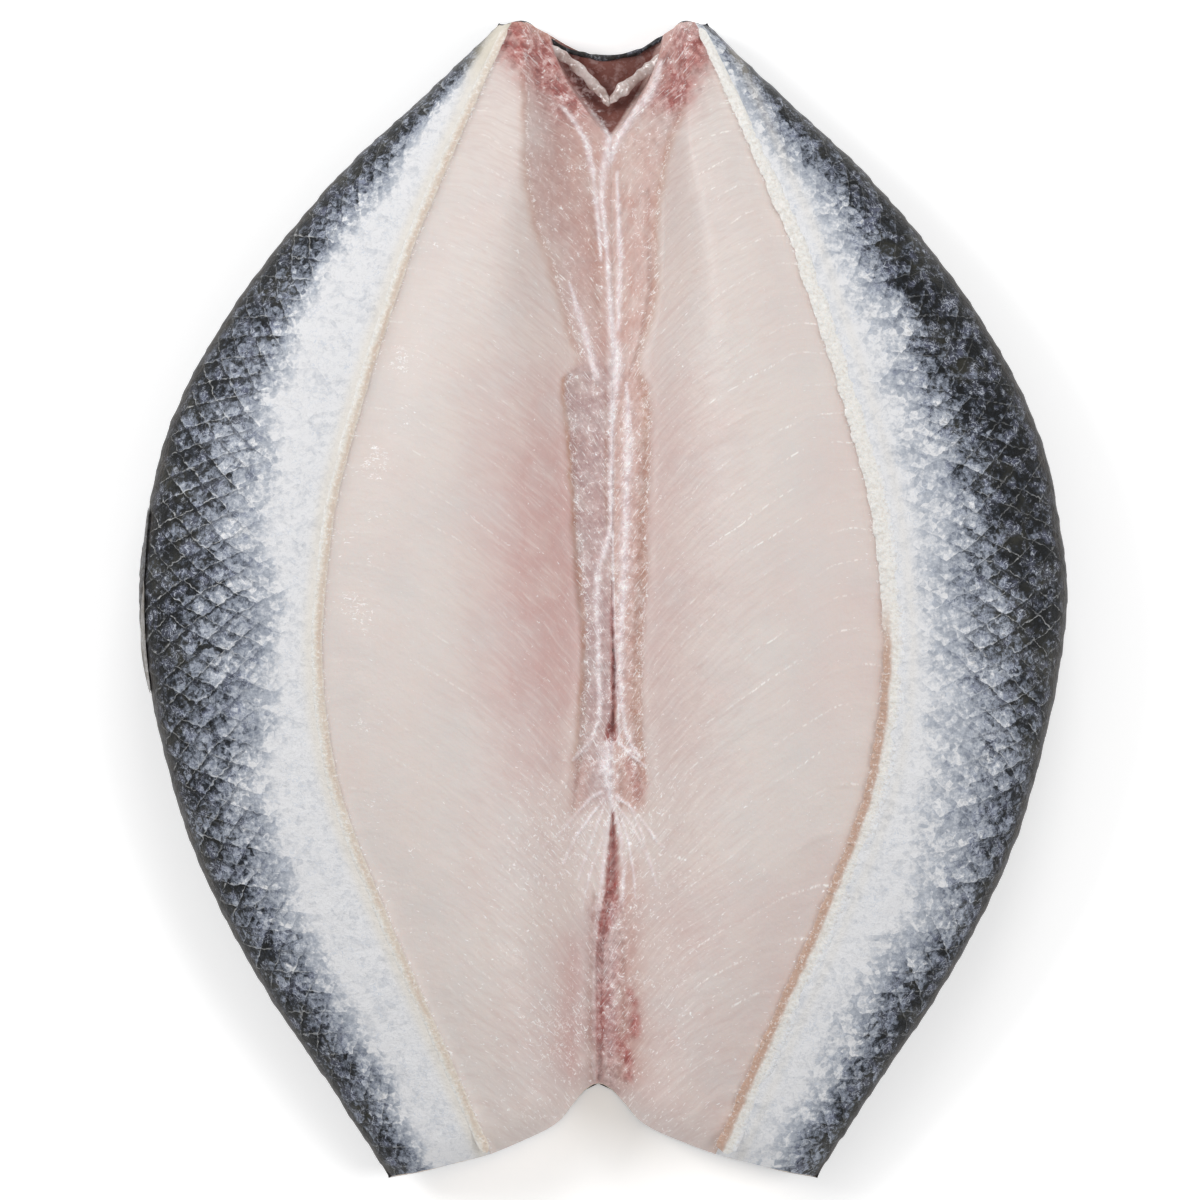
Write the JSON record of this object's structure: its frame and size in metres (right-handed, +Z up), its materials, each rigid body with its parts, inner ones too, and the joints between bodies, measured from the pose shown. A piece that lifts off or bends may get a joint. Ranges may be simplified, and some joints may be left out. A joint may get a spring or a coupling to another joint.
{
  "type": "milkfish belly",
  "caption": "Raw milkfish opened along the belly, flesh side up: two thick pale lobes beside a sunken seam, with silver to black scaled skin underneath.",
  "frame": {"origin": "on the surface the piece lies on, under the middle of its outline", "axes": "+Y towards the head end, +X to the right of the piece seen from above with the head end up, +Z up out of the flesh"},
  "size_m": [0.1524, 0.1904, 0.0295],
  "materials": {
    "flesh": "wet, slightly translucent raw flesh, ivory to pink",
    "skin": "wet scaled skin, white beside the flesh, through silver, to blue-black",
    "membrane": "wet pale pink membrane along the seam"
  },
  "bodies": {
    "root": {"milkfish_belly": "flesh"}
  },
  "joints": []
}
